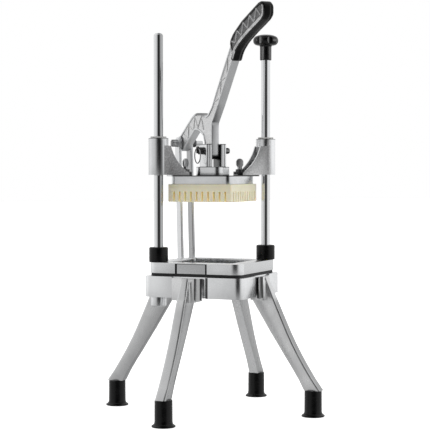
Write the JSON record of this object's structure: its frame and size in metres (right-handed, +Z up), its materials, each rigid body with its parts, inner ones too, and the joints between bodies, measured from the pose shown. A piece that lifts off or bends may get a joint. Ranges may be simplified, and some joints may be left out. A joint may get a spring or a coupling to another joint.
{
  "type": "vegetable chopper",
  "caption": "Table-top lever chopper: a hand lever and rear links drive a toothed pusher down two rods through a square blade grid on splayed legs.",
  "frame": {"origin": "on the table, straight below the middle of the blade grid, between the four feet", "axes": "+Z up along the rods, +X from the plain guide rod towards the rod with the knob (the user's right), +Y away from the user towards the rear links"},
  "size_m": [0.2794, 0.352, 0.6182],
  "materials": {
    "black_rubber": "satin black moulded rubber",
    "blade_steel": "ground stainless strip",
    "bright_steel": "bright stainless",
    "bushing_grey": "matte grey bearing plastic",
    "cast": "satin, brushed and tumbled casting",
    "fastener": "zinc plated steel",
    "frame_cast": "satin, brushed casting",
    "gasket": "matte black sheet",
    "ivory": "translucent ivory moulded plastic, satin",
    "knob_black": "satin black moulded plastic",
    "leg_cast": "satin casting",
    "lever_cast": "grained sand casting with smoother borders",
    "ring_cast": "satin, brushed casting",
    "rod_steel": "bright ground stainless rod"
  },
  "bodies": {
    "base": {"base_ring": "ring_cast", "frame_gasket": "gasket", "blade_frame": "frame_cast", "lower_blades": "blade_steel", "upper_blades": "blade_steel", "leg_front_left": "leg_cast", "leg_front_right": "leg_cast", "leg_rear_left": "leg_cast", "leg_rear_right": "leg_cast", "leg_bolts": "fastener", "foot_front_left": "black_rubber", "foot_front_right": "black_rubber", "foot_rear_left": "black_rubber", "foot_rear_right": "black_rubber", "guide_rod": "rod_steel", "rod_nut": "bright_steel", "bumper_left": "black_rubber", "bumper_right": "black_rubber", "hinge_bolt": "fastener", "hinge_nut": "fastener", "hinge_washers": "fastener"},
    "release_rod": {"release_rod": "rod_steel", "rod_knob": "knob_black"},
    "head": {"head_casting": "cast", "bushing_left": "bushing_grey", "bushing_right": "bushing_grey", "clevis": "cast", "clevis_screws": "fastener", "pusher_block": "ivory", "thumb_washers": "fastener"},
    "thumb_screw_left": {"thumb_screw_left": "bright_steel"},
    "thumb_screw_right": {"thumb_screw_right": "bright_steel"},
    "pivot_pin": {"pivot_pin": "bright_steel", "pin_knob": "knob_black"},
    "pin_ring": {"pin_ring": "bright_steel"},
    "lever": {"lever": "lever_cast", "grip": "black_rubber"},
    "link": {"link_bar_left": "bright_steel", "link_bar_right": "bright_steel", "link_bolt": "fastener", "link_nut": "fastener", "link_washers": "fastener"}
  },
  "joints": [
    {"name": "head_slide", "type": "slide", "parent": "base", "child": "head", "axis": [0, 0, -1], "range_m": [0, 0.111]},
    {"name": "lever_hinge", "type": "hinge", "parent": "head", "child": "lever", "pos_m": [0, 0, 0.4065], "axis": [1, 0, 0], "range_deg": [0, 59.63]},
    {"name": "link_hinge", "type": "hinge", "parent": "base", "child": "link", "pos_m": [0, 0.114, 0.198], "axis": [1, 0, 0], "range_deg": [0, 19.47]},
    {"name": "release_rod_turn", "type": "hinge", "parent": "base", "child": "release_rod", "pos_m": [0.09, 0, 0.4], "axis": [0, 0, 1], "continuous": true},
    {"name": "thumb_screw_left_turn", "type": "hinge", "parent": "head", "child": "thumb_screw_left", "pos_m": [-0.0455, 0, 0.37], "axis": [0, 0, 1], "continuous": true},
    {"name": "thumb_screw_right_turn", "type": "hinge", "parent": "head", "child": "thumb_screw_right", "pos_m": [0.0455, 0, 0.37], "axis": [0, 0, 1], "continuous": true},
    {"name": "pivot_pin_pull", "type": "slide", "parent": "head", "child": "pivot_pin", "axis": [-1, 0, 0], "range_m": [0, 0.0125]},
    {"name": "pin_ring_swing", "type": "hinge", "parent": "pivot_pin", "child": "pin_ring", "pos_m": [-0.0256, 0, 0.4111], "axis": [0, -1, 0], "range_deg": [-28, 8]}
  ],
  "couplings": [
    {"joint": "lever_hinge", "follows": "head_slide", "rad_per_m": 9.3728},
    {"joint": "link_hinge", "follows": "head_slide", "rad_per_m": 3.0581}
  ]
}
